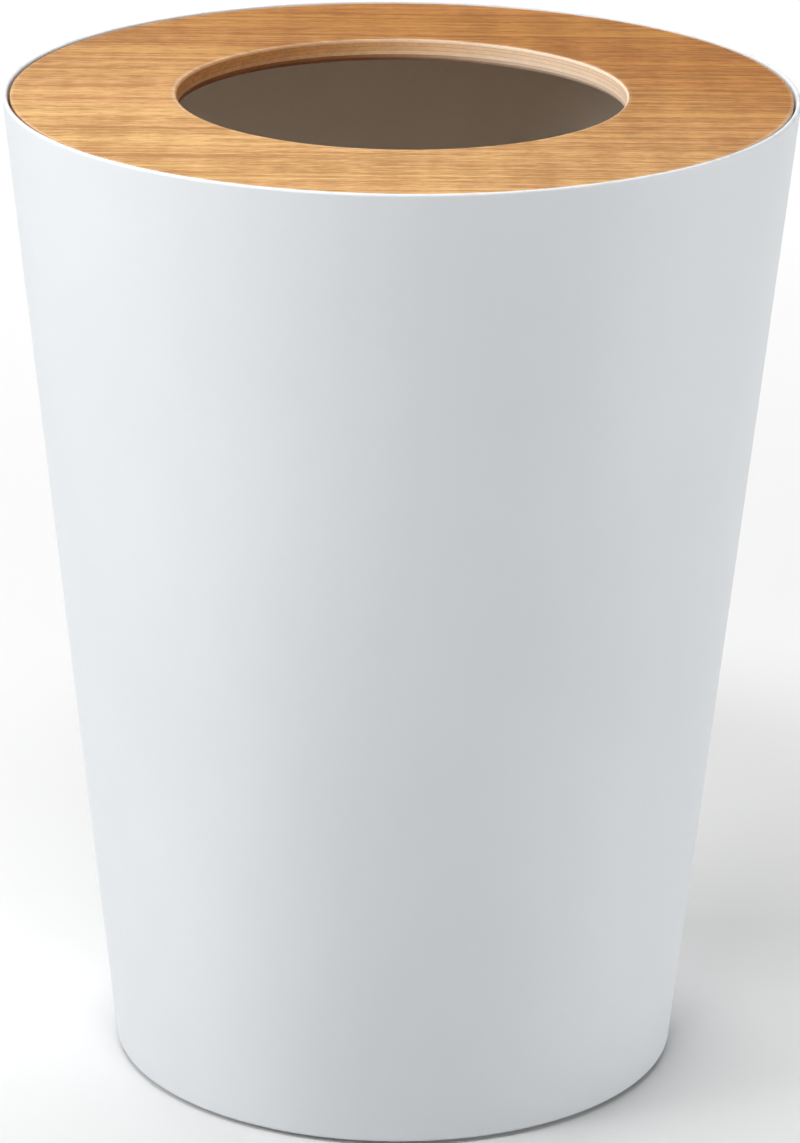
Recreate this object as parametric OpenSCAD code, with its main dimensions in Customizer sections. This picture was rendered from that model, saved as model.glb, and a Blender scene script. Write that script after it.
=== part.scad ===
// Wastebasket: a tapered sheet-steel bin with a loose plywood ring lid.
// The lid lies inside the hemmed rim, on four padded brackets, and lifts straight out.
// Z = 0 is the floor under the foot pads, and the Z axis is the bin's own axis.

/* [Shell] */
// Outer diameter at the rim
rim_d = 225; // [190:1:300]
// Outer diameter at the bottom edge
bottom_d = 165; // [130:1:188]
// Height of the steel shell, from its bottom edge to its rim
shell_h = 287.5; // [180:1:420]
// Thickness of the shell's sheet steel
sheet_t = 0.7; // [0.5:0.02:1.2]
// Outer bend radius of the bottom edge
edge_bend_r = 1.6; // [1.4:0.1:3]
// Width of the lip that the bottom edge turns in
lip_w = 4; // [3.5:0.1:8]
// Height left between the rim's folded hem and the lid brackets
hem_gap = 0.8; // [0.4:0.1:3]

/* [Base pan] */
// Thickness of the pan's sheet steel
pan_t = 0.7; // [0.5:0.02:1.2]
// Outer bend radius between the pan's floor and its flange
pan_bend_r = 2.4; // [2:0.1:4]
// Height of the pan's up-turned flange
flange_h = 7; // [4:0.5:20]
// Height of the raised panel in the middle of the pan
panel_rise = 1.5; // [0.8:0.1:4]
// Gap between the pan's flange and the shell
pan_gap = 0.1; // [0.05:0.05:0.5]

/* [Foot pads] */
// Diameter of a foot pad
foot_d = 11; // [8:0.5:16]
// Height of the shell's bottom edge above the floor
foot_proud = 1; // [0.5:0.1:4]
// Chamfer round a foot pad's lower face
foot_chamfer = 0.3; // [0.1:0.1:0.5]
// Gap between a foot pad and the edges beside it
foot_gap = 1.2; // [0.5:0.1:3]

/* [Lid] */
// Diameter of the hole in the lid
hole_d = 127; // [80:1:160]
// Thickness of the face ply and of the back ply
face_ply_t = 1.05; // [0.6:0.05:1.5]
// Thickness of each crossband ply
crossband_t = 0.95; // [0.6:0.05:2]
// Thickness of each core ply
core_ply_t = 1.25; // [0.8:0.05:3]
// Depth of the lid's face below the rim
lid_recess = 0.4; // [0:0.1:3]
// Gap between the lid's edge and the hem
lid_gap = 0.7; // [0.3:0.05:2]
// Rounding of the hole's upper edge
hole_top_r = 1; // [0.3:0.1:1.5]
// Rounding of the hole's lower edge
hole_bottom_r = 1.5; // [0.3:0.1:1.8]
// Rounding of the lid's outer edges
rim_edge_r = 0.4; // [0.2:0.05:1]

/* [Lid brackets] */
// Thickness of a bracket's steel strip
bracket_t = 1.2; // [0.8:0.1:2]
// Width of a bracket, along the wall
bracket_w = 14; // [11:0.5:30]
// Length of a bracket's shelf, out from the wall
shelf_l = 11; // [10:0.5:18]
// Height of a bracket, from its foot to the top of its shelf
bracket_h = 8; // [5:0.5:20]
// Outer bend radius of a bracket
bracket_bend_r = 2; // [2:0.1:3]
// Gap between a bracket and the shell
bracket_gap = 0.1; // [0.05:0.05:0.5]
// Diameter of the pad on a bracket's shelf
rest_pad_d = 7; // [4:0.5:8]
// Thickness of the pad on a bracket's shelf
rest_pad_t = 1; // [0.5:0.1:3]

/* [Hidden] */
$fn = 180;

// Feet and brackets repeat at quarter turns, with the brackets half way between the feet
QUARTER = 90;
BRACKET_START = 45;

// Slope of the step round the base pan's raised panel
JOGGLE = 45;

// Heights
edge_z = foot_proud;
rim_z = edge_z + shell_h;
pan_z = edge_z + sheet_t;
lid_t = 2 * (face_ply_t + crossband_t + core_ply_t);
lid_top_z = rim_z - lid_recess;
lid_bottom_z = lid_top_z - lid_t;
shelf_z = lid_bottom_z - rest_pad_t;
hem_z = shelf_z + hem_gap + sheet_t / 2;

// The wall's slope, and its radius at a height, set back level by a depth square to the wall
slope = atan((rim_d - bottom_d) / 2 / shell_h);
function wall_r(z, depth = 0) = bottom_d / 2 + (z - edge_z) * tan(slope) - depth / cos(slope);

// A point on the wall's line at a depth
function wall_point(z, depth = 0) = [wall_r(z, depth), z];

// Directions in a section: down, up and in, and square to the wall outside and inside
DOWN = -90;
UP = 90;
IN = 180;
WALL_OUT = -slope;
WALL_IN = 180 - slope;

// An arc of about 15 degrees a step, from one direction to another
ARC_STEP = 15;
function arc(centre, r, from, to) =
    let (steps = ceil(abs(to - from) / ARC_STEP))
    [for (i = [0:steps]) let (turn = from + (to - from) * i / steps) centre + r * [cos(turn), sin(turn)]];

// Radii that the pieces share
lip_r = wall_r(edge_z) - lip_w;
foot_ring_r = lip_r - foot_gap - foot_d / 2;
panel_r = foot_ring_r - foot_d / 2 - foot_gap - panel_rise;
hole_r = hole_d / 2;
hem_face_depth = 2 * sheet_t;
lid_edge_depth = hem_face_depth + lid_gap;
pan_depth = sheet_t + pan_gap;
bracket_depth = sheet_t + bracket_gap;
shelf_outer_r = wall_r(shelf_z, bracket_depth);
rest_pad_r = shelf_outer_r - (shelf_l + bracket_bend_r) / 2;

// Section of the shell: hemmed rim, straight wall, and bottom edge turned in to a lip
module wall_section() {
    bend = wall_point(edge_z + edge_bend_r, edge_bend_r);
    fold = wall_point(rim_z - sheet_t, sheet_t);
    hem_end = wall_point(hem_z, hem_face_depth - sheet_t / 2);
    lip_end = [lip_r + sheet_t / 2, edge_z + sheet_t / 2];
    polygon(concat(
        arc(bend, edge_bend_r, DOWN, WALL_OUT),
        arc(fold, sheet_t, WALL_OUT, WALL_IN),
        arc(hem_end, sheet_t / 2, WALL_IN, WALL_OUT + 360),
        arc(bend, edge_bend_r - sheet_t, WALL_OUT, DOWN),
        arc(lip_end, sheet_t / 2, UP, DOWN + 360)
    ));
}

// Section of the base pan: raised panel, flat ring on the lip, bend and up-turned flange
module pan_section() {
    bend = wall_point(pan_z + pan_bend_r, pan_depth + pan_bend_r);
    flange_end = wall_point(pan_z + flange_h, pan_depth + pan_t / 2);
    panel_z = pan_z + panel_rise;
    ring_r = panel_r + panel_rise;
    shift = pan_t * tan(JOGGLE / 2);
    polygon(concat(
        [[0, panel_z], [panel_r, panel_z], [ring_r, pan_z]],
        arc(bend, pan_bend_r, DOWN, WALL_OUT),
        arc(flange_end, pan_t / 2, WALL_OUT, WALL_IN),
        arc(bend, pan_bend_r - pan_t, WALL_OUT, DOWN),
        [[ring_r + shift, pan_z + pan_t], [panel_r + shift, panel_z + pan_t], [0, panel_z + pan_t]]
    ));
}

// Section of a lid bracket: a shelf bent out from a leg that lies along the wall
module bracket_section() {
    bend = wall_point(shelf_z - bracket_bend_r, bracket_depth + bracket_bend_r);
    leg_z = shelf_z - bracket_h;
    shelf_end_r = shelf_outer_r - shelf_l;
    polygon(concat(
        [wall_point(leg_z, bracket_depth + bracket_t), wall_point(leg_z, bracket_depth)],
        arc(bend, bracket_bend_r, WALL_OUT, UP),
        [[shelf_end_r, shelf_z], [shelf_end_r, shelf_z - bracket_t]],
        arc(bend, bracket_bend_r - bracket_t, UP, WALL_OUT)
    ));
}

// Section of the whole lid: its outer edge keeps an even gap to the sloping hem
module lid_section() {
    hole_bottom = [hole_r + hole_bottom_r, lid_bottom_z + hole_bottom_r];
    edge_bottom = wall_point(lid_bottom_z + rim_edge_r, lid_edge_depth + rim_edge_r);
    edge_top = wall_point(lid_top_z - rim_edge_r, lid_edge_depth + rim_edge_r);
    hole_top = [hole_r + hole_top_r, lid_top_z - hole_top_r];
    polygon(concat(
        arc(hole_bottom, hole_bottom_r, IN, DOWN + 360),
        arc(edge_bottom, rim_edge_r, DOWN, WALL_OUT),
        arc(edge_top, rim_edge_r, WALL_OUT, UP),
        arc(hole_top, hole_top_r, UP, IN)
    ));
}

// One ply of the lid, between a depth under its face and a thickness below that
module lid_ply(depth, t) {
    rotate_extrude()
        intersection() {
            lid_section();
            translate([0, lid_top_z - depth - t])
                square([rim_d, t]);
        }
}

module side_wall() {
    color("white")
        rotate_extrude()
            wall_section();
}

module base_pan() {
    color("gainsboro")
        rotate_extrude()
            pan_section();
}

module foot_pad(i) {
    color("dimgray")
        rotate(i * QUARTER)
            translate([foot_ring_r, 0, 0]) {
                cylinder(h = foot_chamfer, r1 = foot_d / 2 - foot_chamfer, r2 = foot_d / 2);
                translate([0, 0, foot_chamfer])
                    cylinder(h = pan_z - foot_chamfer, d = foot_d);
            }
}

module lid_bracket(i) {
    turn = 2 * asin(bracket_w / 2 / shelf_outer_r);
    color("whitesmoke")
        rotate(BRACKET_START + i * QUARTER - turn / 2)
            rotate_extrude(angle = turn)
                bracket_section();
}

module rest_pad(i) {
    color("lightgray")
        rotate(BRACKET_START + i * QUARTER)
            translate([rest_pad_r, 0, shelf_z])
                cylinder(h = rest_pad_t, d = rest_pad_d);
}

module lid_face_ply() {
    color("burlywood")
        lid_ply(0, face_ply_t);
}

module lid_upper_crossband() {
    color("peru")
        lid_ply(face_ply_t, crossband_t);
}

module lid_upper_core_ply() {
    color("wheat")
        lid_ply(face_ply_t + crossband_t, core_ply_t);
}

module lid_lower_core_ply() {
    color("wheat")
        lid_ply(face_ply_t + crossband_t + core_ply_t, core_ply_t);
}

module lid_lower_crossband() {
    color("peru")
        lid_ply(lid_t - face_ply_t - crossband_t, crossband_t);
}

module lid_back_ply() {
    color("burlywood")
        lid_ply(lid_t - face_ply_t, face_ply_t);
}

side_wall();
base_pan();
foot_pad(1);  // foot_pad_1
foot_pad(2);  // foot_pad_2
foot_pad(3);  // foot_pad_3
foot_pad(4);  // foot_pad_4
lid_bracket(1);  // lid_bracket_1
lid_bracket(2);  // lid_bracket_2
lid_bracket(3);  // lid_bracket_3
lid_bracket(4);  // lid_bracket_4
rest_pad(1);  // rest_pad_1
rest_pad(2);  // rest_pad_2
rest_pad(3);  // rest_pad_3
rest_pad(4);  // rest_pad_4
lid_face_ply();
lid_upper_crossband();
lid_upper_core_ply();
lid_lower_core_ply();
lid_lower_crossband();
lid_back_ply();
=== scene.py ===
import math

import bmesh
import bpy
from mathutils import Matrix, Vector


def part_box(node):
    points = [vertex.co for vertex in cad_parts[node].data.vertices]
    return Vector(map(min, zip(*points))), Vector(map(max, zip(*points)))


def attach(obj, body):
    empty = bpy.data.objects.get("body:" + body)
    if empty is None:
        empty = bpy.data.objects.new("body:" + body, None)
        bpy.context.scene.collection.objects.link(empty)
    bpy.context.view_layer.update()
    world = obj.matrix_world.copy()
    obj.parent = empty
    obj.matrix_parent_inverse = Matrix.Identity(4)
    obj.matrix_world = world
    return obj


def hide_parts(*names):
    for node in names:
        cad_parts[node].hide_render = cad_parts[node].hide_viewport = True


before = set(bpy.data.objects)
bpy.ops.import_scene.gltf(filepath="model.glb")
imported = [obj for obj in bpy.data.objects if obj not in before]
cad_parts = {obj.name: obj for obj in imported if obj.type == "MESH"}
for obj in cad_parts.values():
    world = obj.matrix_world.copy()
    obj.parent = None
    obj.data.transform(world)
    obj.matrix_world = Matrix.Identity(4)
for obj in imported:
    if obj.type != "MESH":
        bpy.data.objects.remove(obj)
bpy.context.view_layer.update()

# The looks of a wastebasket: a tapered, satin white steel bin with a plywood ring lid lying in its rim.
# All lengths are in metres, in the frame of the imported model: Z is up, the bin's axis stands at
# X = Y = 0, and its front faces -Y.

MM = 0.001

# ---------------------------------------------------------------- sizes, as the frame has them

EDGE_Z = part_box("side_wall")[0].z
RIM_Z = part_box("side_wall")[1].z
PAN_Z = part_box("base_pan")[0].z
PAN_TOP_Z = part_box("base_pan")[1].z
SHELF_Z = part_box("lid_bracket_1")[1].z
LEG_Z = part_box("lid_bracket_1")[0].z
LID_TOP_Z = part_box("lid_face_ply")[1].z
LID_BOTTOM_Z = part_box("lid_back_ply")[0].z
FOOT_INNER_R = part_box("foot_pad_4")[0].x

RIM_R = 112.5 * MM
BOTTOM_R = 82.5 * MM
SHEET = 0.7 * MM
EDGE_BEND_R = 1.6 * MM
LIP_W = 4 * MM
HEM_GAP = 0.8 * MM
PAN_BEND_R = 2.4 * MM
PAN_GAP = 0.1 * MM
PANEL_RISE = 1.5 * MM
FOOT_GAP = 1.2 * MM
LID_GAP = 0.7 * MM
HOLE_R = 63.5 * MM
HOLE_TOP_R = 1.0 * MM
HOLE_BOTTOM_R = 1.5 * MM
LID_EDGE_R = 0.4 * MM
BRACKET_T = 1.2 * MM
BRACKET_W = 14 * MM
BRACKET_BEND_R = 2 * MM
BRACKET_CORNER_R = 3 * MM
BRACKET_GAP = 0.1 * MM
SHELF_L = 11 * MM
STRIP_BEVEL = 0.15 * MM
PANEL_SLOPE = math.radians(45)

# Rounding of the pads' bottom and top edges
FOOT_ROUNDS = (0.3 * MM, 0.15 * MM)
REST_ROUNDS = (0.1 * MM, 0.2 * MM)

# The shell's seam: a ground weld up the back, under the paint
SEAM_TURN = math.pi / 2
SEAM_W = 1.4 * MM
SEAM_RISE = 0.12 * MM
SEAM_ABOVE_EDGE = 5 * MM
SEAM_BELOW_RIM = 1.5 * MM

# How fine the meshes are: steps round the axis, rows along straight runs, and steps round a bend
SHELL_TURNS = 360
PAN_TURNS = 240
PAD_TURNS = 72
LID_TURNS = 300
SEAM_REACH_DEG = 2.5
SEAM_TURNS_PER_DEG = 5
WALL_ROWS = 24
LEG_ROWS = 12
SHELF_ROWS = 18
STRIP_COLUMNS = 10
BEND_STEP = math.radians(9)
EDGE_STEPS = 10
LEVEL_GAP = 0.02 * MM

# Points closer than this are merged, and edges that turn more than this stay sharp
MERGE_DIST = 0.001 * MM
SHARP_TURN = math.radians(35)

TURN = 2 * math.pi
SLOPE = math.atan((RIM_R - BOTTOM_R) / (RIM_Z - EDGE_Z))
DOWN, UP = -math.pi / 2, math.pi / 2
WALL_OUT, WALL_IN = -SLOPE, math.pi - SLOPE


def wall_r(z, depth=0.0):
    """The wall's outer radius at a height, set back by a depth square to the wall."""
    return BOTTOM_R + (z - EDGE_Z) * math.tan(SLOPE) - depth / math.cos(SLOPE)


def wall_point(z, depth=0.0):
    return (wall_r(z, depth), z)


# ---------------------------------------------------------------- mesh helpers


def arc(centre, r, start, end):
    """Points of an arc in a section, as (radius, height) pairs."""
    count = max(2, math.ceil(abs(end - start) / BEND_STEP))
    turns = [start + (end - start) * i / count for i in range(count + 1)]
    return [(centre[0] + r * math.cos(t), centre[1] + r * math.sin(t)) for t in turns]


def between(a, b, count):
    """Points strictly between two section points."""
    return [tuple(p + (q - p) * i / (count + 1) for p, q in zip(a, b)) for i in range(1, count + 1)]


def even_turns(count):
    return [TURN * i / count for i in range(count)]


def seam_turns():
    """Turns round the shell: a degree apart, and closer over the seam."""
    reach = math.radians(SEAM_REACH_DEG)
    coarse = [t for t in even_turns(SHELL_TURNS) if abs(t - SEAM_TURN) > reach]
    steps = math.floor(SEAM_REACH_DEG * SEAM_TURNS_PER_DEG)
    fine = [SEAM_TURN + math.radians(i / SEAM_TURNS_PER_DEG) for i in range(-steps, steps + 1)]
    return sorted(coarse + fine)


def new_object(name, bm):
    """A smooth-shaded object from a bmesh, with its corners kept sharp."""
    bmesh.ops.remove_doubles(bm, verts=bm.verts, dist=MERGE_DIST)
    bmesh.ops.recalc_face_normals(bm, faces=bm.faces)
    mesh = bpy.data.meshes.new(name)
    bm.to_mesh(mesh)
    bm.free()
    mesh.shade_smooth()
    mesh.set_sharp_from_angle(angle=SHARP_TURN)
    piece = bpy.data.objects.new(name, mesh)
    bpy.context.scene.collection.objects.link(piece)
    return piece


def keep_flat(piece):
    """Shades a piece's flat faces flat, next to its rounded ones."""
    flat = piece.modifiers.new("flat faces", "WEIGHTED_NORMAL")
    flat.keep_sharp = True


def revolve(name, outline, turns, swell=None):
    """A solid of revolution from a closed outline of (radius, height) points.
    swell, if given, returns what to add to a point's radius at a turn."""
    bm = bmesh.new()
    rings = []
    for turn in turns:
        ring = []
        for r, z in outline:
            r += swell(turn, r, z) if swell else 0
            ring.append(bm.verts.new((r * math.cos(turn), r * math.sin(turn), z)))
        rings.append(ring)
    count = len(outline)
    for i, ring in enumerate(rings):
        after = rings[(i + 1) % len(rings)]
        for j in range(count):
            k = (j + 1) % count
            on_axis = [outline[j][0] <= 0, outline[k][0] <= 0]
            if all(on_axis):
                continue
            corners = [ring[j]]
            if not on_axis[0]:
                corners.append(after[j])
            if not on_axis[1]:
                corners.append(after[k])
            corners.append(ring[k])
            bm.faces.new(corners)
    piece = new_object(name, bm)
    keep_flat(piece)
    return piece


def finish_piece(piece, body, node, slot, *materials):
    """Puts a piece on its body, in place of its CAD node, with its materials."""
    for material in materials:
        piece.data.materials.append(material)
    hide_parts(node)
    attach(piece, body)
    return piece


# ---------------------------------------------------------------- material helpers


class Nodes:
    """A material's node tree, with short calls for the nodes that its patterns need."""

    def __init__(self, name):
        self.material = bpy.data.materials.new(name)
        self.material.use_nodes = True
        self.tree = self.material.node_tree
        self.tree.nodes.clear()
        output = self.tree.nodes.new("ShaderNodeOutputMaterial")
        self.shader = self.tree.nodes.new("ShaderNodeBsdfPrincipled")
        self.tree.links.new(self.shader.outputs[0], output.inputs["Surface"])
        self.place = self.tree.nodes.new("ShaderNodeTexCoord").outputs["Object"]
        split = self.tree.nodes.new("ShaderNodeSeparateXYZ")
        self.tree.links.new(self.place, split.inputs[0])
        self.x, self.y, self.z = split.outputs

    def put(self, socket, value):
        """Feeds a socket from another node's output, a colour or a number."""
        if isinstance(value, bpy.types.NodeSocket):
            self.tree.links.new(value, socket)
        elif isinstance(value, tuple) and len(value) == 3 and socket.type == "RGBA":
            socket.default_value = (*value, 1.0)
        else:
            socket.default_value = value

    def scaled(self, x, y, z, offset=(0, 0, 0)):
        """Object coordinates times a scale along each axis, in pattern cells per metre."""
        node = self.tree.nodes.new("ShaderNodeMapping")
        self.put(node.inputs["Vector"], self.place)
        node.inputs["Scale"].default_value = (x, y, z)
        node.inputs["Location"].default_value = offset
        return node.outputs[0]

    def noise(self, vector, detail=2.0, rough=0.5, distortion=0.0):
        node = self.tree.nodes.new("ShaderNodeTexNoise")
        self.put(node.inputs["Vector"], vector)
        node.inputs["Scale"].default_value = 1.0
        node.inputs["Detail"].default_value = detail
        node.inputs["Roughness"].default_value = rough
        node.inputs["Distortion"].default_value = distortion
        return node.outputs["Fac"]

    def ramp(self, value, low, high, to_low=0.0, to_high=1.0):
        """Takes a value from one range to another, smoothly, and holds it at the ends."""
        node = self.tree.nodes.new("ShaderNodeMapRange")
        node.interpolation_type = "SMOOTHSTEP"
        for i, number in enumerate((value, low, high, to_low, to_high)):
            self.put(node.inputs[i], number)
        return node.outputs["Result"]

    def math(self, operation, a, b=0.0, clamp=False):
        node = self.tree.nodes.new("ShaderNodeMath")
        node.operation = operation
        node.use_clamp = clamp
        self.put(node.inputs[0], a)
        self.put(node.inputs[1], b)
        return node.outputs[0]

    def radius(self):
        """Distance from the bin's axis."""
        x_square = self.math("MULTIPLY", self.x, self.x)
        y_square = self.math("MULTIPLY", self.y, self.y)
        return self.math("SQRT", self.math("ADD", x_square, y_square))

    def mix(self, factor, a, b, blend="MIX"):
        node = self.tree.nodes.new("ShaderNodeMix")
        node.data_type = "RGBA"
        node.blend_type = blend
        self.put(node.inputs[0], factor)
        self.put(node.inputs[6], a)
        self.put(node.inputs[7], b)
        return node.outputs[2]

    def bump(self, height, distance):
        """Raises the surface by a pattern, where a value of one stands for the distance."""
        node = self.tree.nodes.new("ShaderNodeBump")
        node.inputs["Strength"].default_value = 1.0
        node.inputs["Distance"].default_value = distance
        self.put(node.inputs["Height"], height)
        self.put(self.shader.inputs["Normal"], node.outputs[0])

    def finish(self, colour, roughness, specular):
        self.put(self.shader.inputs["Base Color"], colour)
        self.put(self.shader.inputs["Roughness"], roughness)
        self.shader.inputs["Specular IOR Level"].default_value = specular
        return self.material


def tint(colour, factor):
    return tuple(c * factor for c in colour)


# ---------------------------------------------------------------- materials

# Height of the fine relief in the coat and the wood, and in the rubber
SKIN_DEPTH = 0.012 * MM
RUBBER_DEPTH = 0.02 * MM

# The coat's band at the rim, with its painted highlight and its wear, starts this far below the rim and
# is full this far below it;
# its wear at the bottom starts this far above the edge and is full this far above it
RIM_HIGHLIGHT_AND_WEAR_BAND = (0.6 * MM, 0.1 * MM)
FOOT_BAND = (1.5 * MM, 0.3 * MM)
# The rim's tint and share set the painted highlight that brightens the coat along the rim
CLOUD_TINT, RIM_HIGHLIGHT_TINT, WORN_TINT = 0.965, 1.15, 0.72
RIM_HIGHLIGHT_SHARE, WORN_SHARE, WORN_POLISH = 0.8, 0.3, -0.12
CLOUD_RELIEF = 3.0

# The middle span of a noise, over which most patterns run
MID = (0.3, 0.7)

# Wood patterns: cells per metre along and across the grain, and an offset that sets each one apart
BANDS = (3, 75)
LINES = (6, 330, (3, 1, 7))
HAIRS = (140, 1100, (1, 5, 2))
FIGURE = (70, 10, (4, 4, 1))
PORES = (220, 2400, (8, 2, 5))
BLUSH = (5, 140, (6, 3, 9))

# What the other patterns add to the lines in the wood's tone, and the darkest and palest sums
BAND_SHARE, HAIR_SHARE, FIGURE_SHARE = 0.2, 0.7, 0.3
DARKEST, PALEST = 0.92, 1.29

# Tints of the wood: rosy patches on its faces and a deeper orange on them as painted shade; amber as
# painted shade and cream as a painted highlight on its sides
ROSY = (1.0, 0.94, 1.0)
SHADED_ORANGE = (0.69, 0.50, 0.27)
SHADE_AMBER = (0.86, 0.68, 0.52)
HIGHLIGHT_CREAM = (1.0, 0.86, 0.70)
# Where the painted shade in amber and the painted highlight in cream come in along X on the lid's
# sides, and the highlight's share
SHADE_AMBER_X = (10 * MM, -50 * MM)
HIGHLIGHT_CREAM_X = (-20 * MM, 50 * MM)
HIGHLIGHT_CREAM_SHARE = 0.6
SIDE_DARK_TINT = 0.8
SIDE_ROUGHER = 0.25

# The painted shade, a deeper orange, grows with Y plus this share of X, over this span
SHADE_DRIFT_X_SHARE = 0.6
SHADE_DRIFT_SPAN = (-90 * MM, 100 * MM)

# Painted highlights in pale bands on the lid's faces, along its rounded edges: where each starts and
# where it is full, in from the lid's rim and out from its hole
RIM_HIGHLIGHT_BAND = (1.3 * MM, 0.2 * MM)
HOLE_HIGHLIGHT_BAND = (2 * MM, 0.5 * MM)

# Depths from the lid's faces over which the sanded sides and the glue lines come in
SANDED_DEPTHS = (0.03 * MM, 0.25 * MM)
GLUE_DEPTHS = (0.5 * MM, 0.6 * MM)
GLUE_T = 0.12 * MM
GLUE_SHARE, GLUE_TINT = 0.5, 0.3
PORE_SHARE, PORE_TINT, PORE_RELIEF = 0.4, 0.6, -2.0


def powder_coat(name, colour, roughness=0.48):
    """Satin powder coat on steel: a fine pebbled skin, a little uneven in tone and gloss,
    with a painted highlight that brightens it along the folded rim, and rubbed there and along the
    bottom edge."""
    n = Nodes(name)
    cloud = n.noise(n.scaled(14, 14, 10), detail=3)
    pebble = n.noise(n.scaled(900, 900, 900), detail=2)
    rubs = n.noise(n.scaled(160, 160, 60), detail=3, rough=0.7)
    rim = n.ramp(n.z, RIM_Z - RIM_HIGHLIGHT_AND_WEAR_BAND[0], RIM_Z - RIM_HIGHLIGHT_AND_WEAR_BAND[1])
    foot = n.ramp(n.z, EDGE_Z + FOOT_BAND[0], EDGE_Z + FOOT_BAND[1])
    edge = n.math("ADD", rim, foot, clamp=True)
    worn = n.math("MULTIPLY", edge, n.ramp(rubs, 0.52, 0.66))
    body = n.mix(n.ramp(cloud, *MID), tint(colour, CLOUD_TINT), colour)
    # Painted highlight: the coat is brightened along the folded rim
    body = n.mix(n.math("MULTIPLY", rim, RIM_HIGHLIGHT_SHARE), body, tint(colour, RIM_HIGHLIGHT_TINT))
    body = n.mix(n.math("MULTIPLY", worn, WORN_SHARE), body, tint(colour, WORN_TINT))
    uneven = n.ramp(cloud, *MID, roughness - 0.03, roughness + 0.04)
    rough = n.math("ADD", uneven, n.math("MULTIPLY", worn, WORN_POLISH))
    n.bump(n.math("ADD", pebble, n.math("MULTIPLY", cloud, CLOUD_RELIEF)), SKIN_DEPTH)
    return n.finish(body, rough, 0.5)


def cells(n, along_x, along, across, offset=(0, 0, 0)):
    """Coordinates for a pattern that follows the grain, which runs along X or along Y."""
    if along_x:
        return n.scaled(along, across, across, offset)
    return n.scaled(across, along, across, offset)


def wood_tone(n, lines, bands, hairs, figure):
    """How pale the wood is: nothing is darkest and one is palest."""
    tone = n.math("ADD", lines, n.math("MULTIPLY", bands, BAND_SHARE))
    tone = n.math("ADD", tone, n.math("MULTIPLY", hairs, HAIR_SHARE))
    tone = n.math("ADD", tone, n.math("MULTIPLY", figure, FIGURE_SHARE))
    return n.ramp(tone, DARKEST, PALEST)


def shade_drift(n):
    """Painted shade over the lid, growing slowly from its front left to its back right."""
    return n.ramp(n.math("ADD", n.math("MULTIPLY", n.x, SHADE_DRIFT_X_SHARE), n.y), *SHADE_DRIFT_SPAN)


def between_faces(n, start, end):
    """One between the lid's top and bottom faces, nothing within the start depth of either."""
    above = n.ramp(n.z, LID_BOTTOM_Z + start, LID_BOTTOM_Z + end)
    return n.math("MULTIPLY", above, n.ramp(n.z, LID_TOP_Z - start, LID_TOP_Z - end))


def edge_highlight_bands(n, figure):
    """How far a face is painted pale as a highlight, in broken bands along the lid's rim and round its
    hole.
    """
    r = n.radius()
    rim_r = wall_r(LID_TOP_Z, 2 * SHEET + LID_GAP)
    rim = n.ramp(r, rim_r - RIM_HIGHLIGHT_BAND[0], rim_r - RIM_HIGHLIGHT_BAND[1])
    hole = n.ramp(r, HOLE_R + HOLE_HIGHLIGHT_BAND[0], HOLE_R + HOLE_HIGHLIGHT_BAND[1])
    broken = n.ramp(figure, 0.35, 0.65, 0.1, 0.3)
    return n.math("MULTIPLY", n.math("MAXIMUM", rim, hole), broken)


def side_colour(n, tone, edge):
    """A ply's colour on the lid's sides, with painted shade in amber at the left and a painted
    highlight in cream at the right.
    """
    side = n.mix(tone, tint(edge, SIDE_DARK_TINT), edge)
    # Painted shade: amber at the left, where the sides face away from the left lamp
    side = n.mix(n.ramp(n.x, *SHADE_AMBER_X), side, n.mix(1.0, side, SHADE_AMBER, "MULTIPLY"))
    # Painted highlight: cream at the right, where the sides face the left lamp
    return n.mix(n.ramp(n.x, *HIGHLIGHT_CREAM_X), side, n.mix(HIGHLIGHT_CREAM_SHARE, side, HIGHLIGHT_CREAM))


def glue_lines(n, node):
    """One at a ply's bottom and top joints, nothing near the lid's own faces."""
    low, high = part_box(node)[0].z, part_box(node)[1].z
    joint = n.math("MAXIMUM", n.ramp(n.z, low + GLUE_T, low), n.ramp(n.z, high - GLUE_T, high))
    return n.math("MULTIPLY", joint, between_faces(n, *GLUE_DEPTHS))


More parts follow.
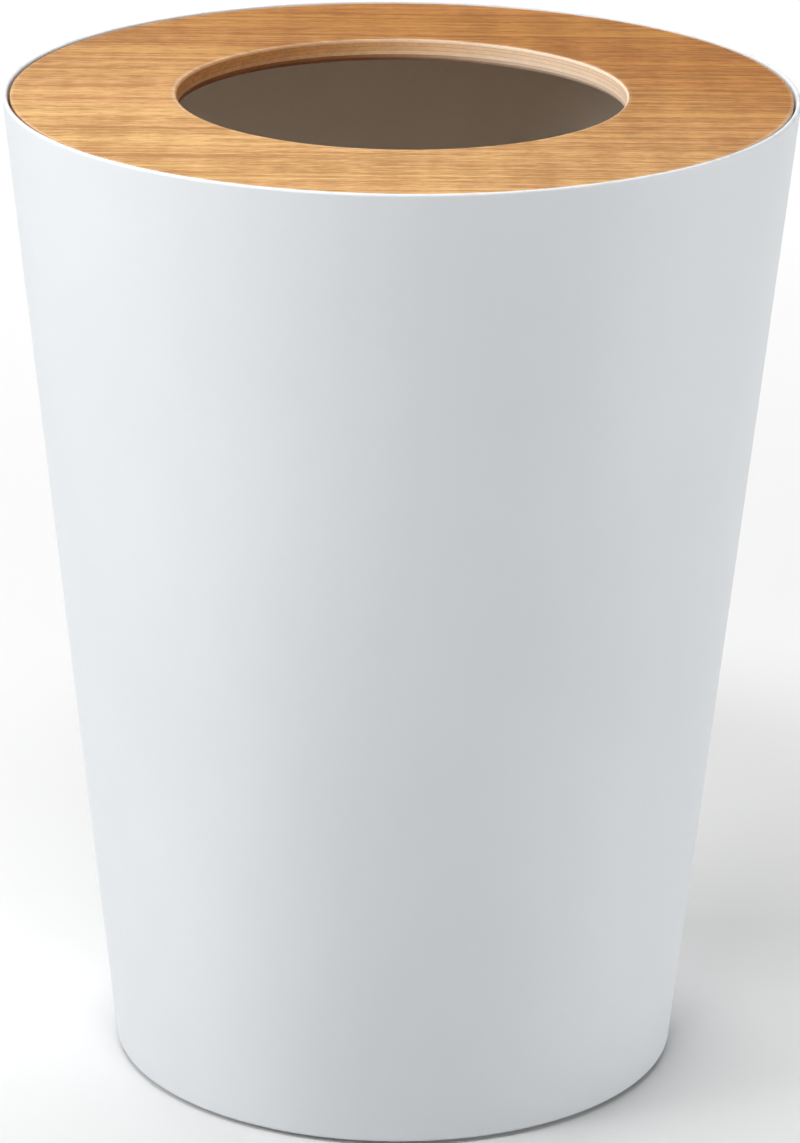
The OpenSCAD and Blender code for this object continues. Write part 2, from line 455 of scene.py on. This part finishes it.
def veneer(name, node, dark, pale, edge, along_x=True):
    """Lacquered straight-grained wood: fine lines, hair lines, pores and a faint cross figure on its
    face, with painted highlights in pale bands along its edges and painted shade towards the back
    right, and sanded sides with painted shade at the left, a painted highlight at the right and a dark
    glue line along the ply's joints."""
    n = Nodes(name)
    lines = n.noise(cells(n, along_x, *LINES), detail=4, rough=0.85)
    bands = n.noise(cells(n, along_x, *BANDS), detail=2, distortion=0.3)
    hairs = n.noise(cells(n, along_x, *HAIRS), detail=3, rough=0.75)
    figure = n.noise(cells(n, along_x, *FIGURE), detail=3, rough=0.6)
    pores = n.ramp(n.noise(cells(n, along_x, *PORES), detail=1), 0.62, 0.7)
    blush = n.ramp(n.noise(cells(n, along_x, *BLUSH), detail=3), 0.4, 0.65)
    tone = wood_tone(n, lines, bands, hairs, figure)
    pit = n.math("MULTIPLY", pores, PORE_SHARE)
    face = n.mix(tone, dark, pale)
    face = n.mix(blush, face, n.mix(1.0, face, ROSY, "MULTIPLY"))
    # Painted shade: the face turns a deeper orange towards the back right, where less light falls
    face = n.mix(shade_drift(n), face, n.mix(1.0, face, SHADED_ORANGE, "MULTIPLY"))
    # Painted highlight: pale cream bands along the lid's rim and round its hole, where the rounded
    # edges catch light
    face = n.mix(edge_highlight_bands(n, figure), face, HIGHLIGHT_CREAM)
    face = n.mix(pit, face, tint(dark, PORE_TINT))
    sides = between_faces(n, *SANDED_DEPTHS)
    colour = n.mix(sides, face, side_colour(n, tone, edge))
    glue = n.math("MULTIPLY", glue_lines(n, node), GLUE_SHARE)
    colour = n.mix(glue, colour, tint(edge, GLUE_TINT))
    n.bump(n.math("ADD", lines, n.math("MULTIPLY", pit, PORE_RELIEF)), SKIN_DEPTH)
    sheen = n.ramp(lines, *MID, 0.5, 0.42)
    rough = n.math("ADD", sheen, n.math("MULTIPLY", sides, SIDE_ROUGHER))
    return n.finish(colour, rough, 0.35)


def rubber(name, colour):
    """Matte moulded rubber with a faint bloom and a fine grain."""
    n = Nodes(name)
    bloom = n.noise(n.scaled(220, 220, 220), detail=3)
    grain = n.noise(n.scaled(3000, 3000, 3000), detail=1)
    n.bump(grain, RUBBER_DEPTH)
    body = n.mix(n.ramp(bloom, 0.35, 0.7), colour, tint(colour, 1.25))
    return n.finish(body, n.ramp(bloom, *MID, 0.72, 0.84), 0.35)


WHITE = powder_coat("white_powder_coat", (0.737, 0.761, 0.783))
INSIDE = powder_coat("inside_coat", (0.92, 0.85, 0.76), 0.6)

# Each veneer has its node, its dark and pale tones on a face, and its colour on the lid's sides;
# the grain of the two crossbands runs along Y, and that of the other plies along X
CROSS_TONES = ((0.26, 0.13, 0.055), (0.45, 0.25, 0.12))
CORE_TONES = ((0.55, 0.33, 0.17), (0.7, 0.5, 0.3))
FACE_TONES = ((0.46, 0.22, 0.068), (0.86, 0.53, 0.21))
BACK_TONES = ((0.34, 0.17, 0.07), (0.58, 0.36, 0.18))
FACE = veneer("face_veneer", "lid_face_ply", *FACE_TONES, (0.88, 0.56, 0.32))
UPPER_CROSS = veneer("upper_crossband", "lid_upper_crossband", *CROSS_TONES, (0.96, 0.50, 0.19), False)
UPPER_CORE = veneer("upper_core", "lid_upper_core_ply", *CORE_TONES, (0.98, 0.53, 0.22))
LOWER_CORE = veneer("lower_core", "lid_lower_core_ply", *CORE_TONES, (1.0, 0.64, 0.36))
# The lower crossband and the back veneer get dark brown sides: painted shade, as under the hole's lower
# edge
LOWER_CROSS = veneer("lower_crossband", "lid_lower_crossband", *CROSS_TONES, (0.46, 0.20, 0.08), False)
BACK = veneer("back_veneer", "lid_back_ply", *BACK_TONES, (0.42, 0.19, 0.08))
RUBBER = rubber("foot_rubber", (0.24, 0.24, 0.235))
REST = rubber("rest_rubber", (0.52, 0.52, 0.50))

# ---------------------------------------------------------------- the bin

# A face of the shell is on its inner side past this share of the sheet, and one of the pan looks up
# past this upward part of its normal
NEARLY = 0.9
LOOKS_UP = 0.05


def seam_swell(turn, r, z):
    """The weld's low bead on the shell's outer face, ending before the rim and the bottom edge."""
    inside = r < wall_r(z, 0.5 * SHEET)
    if inside or not EDGE_Z + SEAM_ABOVE_EDGE < z < RIM_Z - SEAM_BELOW_RIM:
        return 0
    across = (turn - SEAM_TURN) * r / SEAM_W
    return SEAM_RISE * math.exp(-across * across)


def side_wall():
    """The shell: its lip turned in at the bottom, its outer face, the rolled rim with its hem folded
    down inside, and its inner face. The inner faces below the hem have the inside coat."""
    bend = wall_point(EDGE_Z + EDGE_BEND_R, EDGE_BEND_R)
    fold = wall_point(RIM_Z - SHEET, SHEET)
    hem_end = wall_point(SHELF_Z + HEM_GAP + SHEET / 2, 1.5 * SHEET)
    lip_end = (wall_r(EDGE_Z) - LIP_W + SHEET / 2, EDGE_Z + SHEET / 2)
    low, high = EDGE_Z + 3 * EDGE_BEND_R, RIM_Z - 2 * SHEET
    outline = (
        arc(bend, EDGE_BEND_R, DOWN, WALL_OUT)
        + between(wall_point(low), wall_point(high), WALL_ROWS)
        + arc(fold, SHEET, WALL_OUT, WALL_IN)
        + arc(hem_end, SHEET / 2, WALL_IN, WALL_OUT + TURN)
        + between(wall_point(hem_end[1] - SHEET, SHEET), wall_point(low, SHEET), WALL_ROWS)
        + arc(bend, EDGE_BEND_R - SHEET, WALL_OUT, DOWN)
        + arc(lip_end, SHEET / 2, UP, DOWN + TURN)
    )
    piece = revolve("side_wall_skin", outline, seam_turns(), seam_swell)
    for face in piece.data.polygons:
        r, z = math.hypot(face.center.x, face.center.y), face.center.z
        inner = r < wall_r(z, NEARLY * SHEET) and EDGE_Z + NEARLY * SHEET < z < hem_end[1]
        face.material_index = 1 if inner else 0
    finish_piece(piece, "bin", "side_wall", "white_shell", WHITE, INSIDE)


def base_pan():
    """The pan that closes the bottom: a raised round panel, a bend and a short flange up the wall.
    Its faces that look up have the inside coat."""
    depth = SHEET + PAN_GAP
    bend = wall_point(PAN_Z + PAN_BEND_R, depth + PAN_BEND_R)
    flange_end = wall_point(PAN_TOP_Z - SHEET / 2, depth + SHEET / 2)
    ring_r = FOOT_INNER_R - FOOT_GAP
    panel_r, panel_z = ring_r - PANEL_RISE, PAN_Z + PANEL_RISE
    shift = SHEET * math.tan(PANEL_SLOPE / 2)
    outline = (
        [(0, panel_z), (panel_r, panel_z), (ring_r, PAN_Z)]
        + arc(bend, PAN_BEND_R, DOWN, WALL_OUT)
        + arc(flange_end, SHEET / 2, WALL_OUT, WALL_IN)
        + arc(bend, PAN_BEND_R - SHEET, WALL_OUT, DOWN)
        + [(ring_r + shift, PAN_Z + SHEET), (panel_r + shift, panel_z + SHEET), (0, panel_z + SHEET)]
    )
    piece = revolve("base_pan_skin", outline, even_turns(PAN_TURNS))
    for face in piece.data.polygons:
        face.material_index = 1 if face.normal.z > LOOKS_UP else 0
    finish_piece(piece, "bin", "base_pan", "white_pan", WHITE, INSIDE)


def disc(name, node, slot, material, bottom_round, top_round):
    """A round pad with softened edges, where its CAD node stands."""
    low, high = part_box(node)
    r = (high.x - low.x) / 2
    bottom, top = 0, high.z - low.z
    outline = (
        [(0, bottom)]
        + arc((r - bottom_round, bottom + bottom_round), bottom_round, DOWN, 0)
        + arc((r - top_round, top - top_round), top_round, 0, UP)
        + [(0, top)]
    )
    piece = revolve(name, outline, even_turns(PAD_TURNS))
    piece.location = ((low.x + high.x) / 2, (low.y + high.y) / 2, low.z)
    finish_piece(piece, "bin", node, slot, material)


def bracket_stations():
    """Pairs of outer and inner section points along a bracket's strip, from its foot to the end
    of its shelf."""
    depth = SHEET + BRACKET_GAP
    bend = wall_point(SHELF_Z - BRACKET_BEND_R, depth + BRACKET_BEND_R)
    leg = [LEG_Z + (bend[1] - LEG_Z) * (i / LEG_ROWS) for i in range(LEG_ROWS)]
    pairs = [(wall_point(z, depth), wall_point(z, depth + BRACKET_T)) for z in leg]
    outer = arc(bend, BRACKET_BEND_R, WALL_OUT, UP)
    inner = arc(bend, BRACKET_BEND_R - BRACKET_T, WALL_OUT, UP)
    pairs += list(zip(outer, inner))
    end = wall_r(SHELF_Z, depth) - SHELF_L
    for i in range(1, SHELF_ROWS + 1):
        r = bend[0] + (end - bend[0]) * i / SHELF_ROWS
        pairs.append(((r, SHELF_Z), (r, SHELF_Z - BRACKET_T)))
    return pairs


def bracket(number):
    """A strip bent into a leg along the wall and a shelf, with rounded corners at both ends."""
    node = f"lid_bracket_{number}"
    low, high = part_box(node)
    middle = math.atan2((low.y + high.y) / 2, (low.x + high.x) / 2)
    pairs = bracket_stations()
    along = [0.0]
    for (a, _), (b, _) in zip(pairs, pairs[1:]):
        along.append(along[-1] + math.dist(a, b))
    ring_r, columns = wall_r(SHELF_Z, SHEET + BRACKET_GAP), STRIP_COLUMNS
    bm = bmesh.new()
    sheets = [[], []]
    for station, s in zip(pairs, along):
        left = max(0.0, BRACKET_CORNER_R - min(s, along[-1] - s))
        half = BRACKET_W / 2 - (BRACKET_CORNER_R - math.sqrt(max(0.0, BRACKET_CORNER_R**2 - left**2)))
        for sheet, (r, z) in zip(sheets, station):
            turns = [middle + half * (2 * j / columns - 1) / ring_r for j in range(columns + 1)]
            sheet.append([bm.verts.new((r * math.cos(t), r * math.sin(t), z)) for t in turns])
    outer, inner = sheets
    for i in range(len(pairs) - 1):
        for j in range(columns):
            bm.faces.new((outer[i][j], outer[i][j + 1], outer[i + 1][j + 1], outer[i + 1][j]))
            bm.faces.new((inner[i][j], inner[i + 1][j], inner[i + 1][j + 1], inner[i][j + 1]))
        for j in (0, columns):
            bm.faces.new((outer[i][j], outer[i + 1][j], inner[i + 1][j], inner[i][j]))
    for i in (0, len(pairs) - 1):
        for j in range(columns):
            bm.faces.new((outer[i][j], outer[i][j + 1], inner[i][j + 1], inner[i][j]))
    piece = new_object(f"{node}_strip", bm)
    soften = piece.modifiers.new("soft edges", "BEVEL")
    soften.width, soften.segments, soften.limit_method = STRIP_BEVEL, 2, "ANGLE"
    keep_flat(piece)
    finish_piece(piece, "bin", node, "white_shell", WHITE)


side_wall()
base_pan()
for i in range(1, 5):
    disc(f"foot_pad_{i}_disc", f"foot_pad_{i}", "foot_rubber", RUBBER, *FOOT_ROUNDS)
    disc(f"rest_pad_{i}_disc", f"rest_pad_{i}", "rest_rubber", REST, *REST_ROUNDS)
    bracket(i)

# ---------------------------------------------------------------- the lid


def hole_side(z):
    """Radius of the lid's hole at a height, with its rounded edges."""
    above = z - (LID_TOP_Z - HOLE_TOP_R)
    below = (LID_BOTTOM_Z + HOLE_BOTTOM_R) - z
    if above > 0:
        return HOLE_R + HOLE_TOP_R - math.sqrt(max(0, HOLE_TOP_R**2 - above**2))
    if below > 0:
        return HOLE_R + HOLE_BOTTOM_R - math.sqrt(max(0, HOLE_BOTTOM_R**2 - below**2))
    return HOLE_R


def rim_side(z):
    """Radius of the lid's outer edge at a height, with its rounded edges."""
    depth = 2 * SHEET + LID_GAP
    for centre_z, sign in ((LID_TOP_Z - LID_EDGE_R, 1), (LID_BOTTOM_Z + LID_EDGE_R, -1)):
        past = (z - centre_z) * sign
        if past > 0:
            return wall_r(centre_z, depth + LID_EDGE_R) + math.sqrt(max(0, LID_EDGE_R**2 - past**2))
    return wall_r(z, depth)


def levels(low, high):
    """Heights through a ply, close together where the lid's edges are rounded."""
    marks = {low, high}
    rounds = (
        (LID_TOP_Z - HOLE_TOP_R, HOLE_TOP_R),
        (LID_BOTTOM_Z + HOLE_BOTTOM_R, -HOLE_BOTTOM_R),
        (LID_TOP_Z - LID_EDGE_R, LID_EDGE_R),
        (LID_BOTTOM_Z + LID_EDGE_R, -LID_EDGE_R),
    )
    for centre_z, r in rounds:
        for i in range(EDGE_STEPS + 1):
            z = centre_z + r * math.sin(UP * i / EDGE_STEPS)
            if low + LEVEL_GAP < z < high - LEVEL_GAP:
                marks.add(z)
    return sorted(marks)


def ply(node, slot, material):
    """One layer of the lid, as a ring with the lid's rounded edges where it has them."""
    heights = levels(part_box(node)[0].z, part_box(node)[1].z)
    outline = [(hole_side(z), z) for z in reversed(heights)] + [(rim_side(z), z) for z in heights]
    piece = revolve(f"{node}_ring", outline, even_turns(LID_TURNS))
    finish_piece(piece, "lid", node, slot, material)


ply("lid_face_ply", "wood_face", FACE)
ply("lid_upper_crossband", "wood_crossband", UPPER_CROSS)
ply("lid_upper_core_ply", "wood_core", UPPER_CORE)
ply("lid_lower_core_ply", "wood_core", LOWER_CORE)
ply("lid_lower_crossband", "wood_crossband", LOWER_CROSS)
ply("lid_back_ply", "wood_back", BACK)

# ---------------------------------------------------------------- floor, light and camera

# The floor's half width in metres, and its tones
FLOOR_HALF = 9
FLOOR_TONES = ((0.79, 0.79, 0.79), (0.81, 0.81, 0.81))

# The camera: a long lens from the front, 19 degrees above level and rolled by half a degree,
# moved a little to the right and up from the line through the bin's middle
CAMERA_PITCH = math.radians(19.27)
CAMERA_ROLL = math.radians(0.567)
CAMERA_RANGE = 1510 * MM
CAMERA_RIGHT = 0.815 * MM
CAMERA_UP = 0.09 * MM
SENSOR_MM = 36
LENS_MM = 163.4


def studio_floor():
    """A wide pale floor, a little uneven in tone."""
    bm = bmesh.new()
    bmesh.ops.create_grid(bm, x_segments=1, y_segments=1, size=FLOOR_HALF)
    piece = new_object("studio_floor", bm)
    n = Nodes("pale_floor")
    cloud = n.noise(n.scaled(3, 3, 3), detail=2)
    piece.data.materials.append(n.finish(n.mix(cloud, *FLOOR_TONES), 0.9, 0.1))


def softbox(name, place, aim, width, height, power):
    """A rectangular lamp at a place, turned to face an aim, with its power in watts."""
    data = bpy.data.lights.new(name, "AREA")
    data.shape = "RECTANGLE"
    data.size, data.size_y = width, height
    data.energy = power
    lamp = bpy.data.objects.new(name, data)
    lamp.location = place
    lamp.rotation_mode = "QUATERNION"
    lamp.rotation_quaternion = (Vector(aim) - Vector(place)).to_track_quat("-Z", "Y")
    bpy.context.scene.collection.objects.link(lamp)


def surroundings(colour, strength):
    """A faint even light from all round, and plain colours without a film look."""
    world = bpy.data.worlds.new("studio_air")
    world.use_nodes = True
    world.node_tree.nodes["Background"].inputs["Color"].default_value = (*colour, 1.0)
    world.node_tree.nodes["Background"].inputs["Strength"].default_value = strength
    bpy.context.scene.world = world
    bpy.context.scene.view_settings.view_transform = "Standard"


def camera():
    centre = Vector((0, 0, (EDGE_Z + RIM_Z) / 2))
    ahead = Vector((0, math.cos(CAMERA_PITCH), -math.sin(CAMERA_PITCH)))
    across = Vector((1, 0, 0))
    up = Vector((0, math.sin(CAMERA_PITCH), math.cos(CAMERA_PITCH)))
    data = bpy.data.cameras.new("camera")
    data.sensor_width = SENSOR_MM
    data.lens = LENS_MM
    piece = bpy.data.objects.new("camera", data)
    piece.location = centre - CAMERA_RANGE * ahead + CAMERA_RIGHT * across + CAMERA_UP * up
    base = Matrix((across, up, -ahead)).transposed()
    piece.rotation_mode = "QUATERNION"
    piece.rotation_quaternion = (base @ Matrix.Rotation(CAMERA_ROLL, 3, "Z")).to_quaternion()
    bpy.context.scene.collection.objects.link(piece)
    bpy.context.scene.camera = piece


studio_floor()

# Lamps on the bin: a broad one at the left, a low one at the right, a small one above and in front,
# and a narrow strip in front, a little below the rim
softbox("left_softbox", (-1.3, -0.3, 0.86), (0, 0, 0.17), 1.0, 1.1, 15)
softbox("right_softbox", (1.3, -0.1, 0.2), (0, 0, 0.16), 0.9, 0.34, 7.6)
softbox("top_key", (-0.12, -0.36, 0.95), (0, -0.06, 0.24), 0.4, 0.16, 3.7)
softbox("front_strip", (-0.15, -0.8, 0.265), (0, 0, 0.2), 0.4, 0.03, 0.8)

# Lamps that face away from the bin and light the floor behind it, in front and at both sides
FLOOR_LAMP = (2.6, 1.0, 36)
softbox("backdrop_light", (0, 1.5, 2.2), (0, 2.6, 0), 2.5, 1.2, 84)
softbox("front_floor_light", (0, -1.7, 1.3), (0, -3.6, 0), *FLOOR_LAMP)
softbox("left_floor_light", (-1.9, -0.6, 1.3), (-3.8, -1.2, 0), *FLOOR_LAMP)
softbox("right_floor_light", (1.9, -0.6, 1.3), (3.8, -1.2, 0), *FLOOR_LAMP)
surroundings((0.97, 0.985, 1.0), 0.01)
camera()
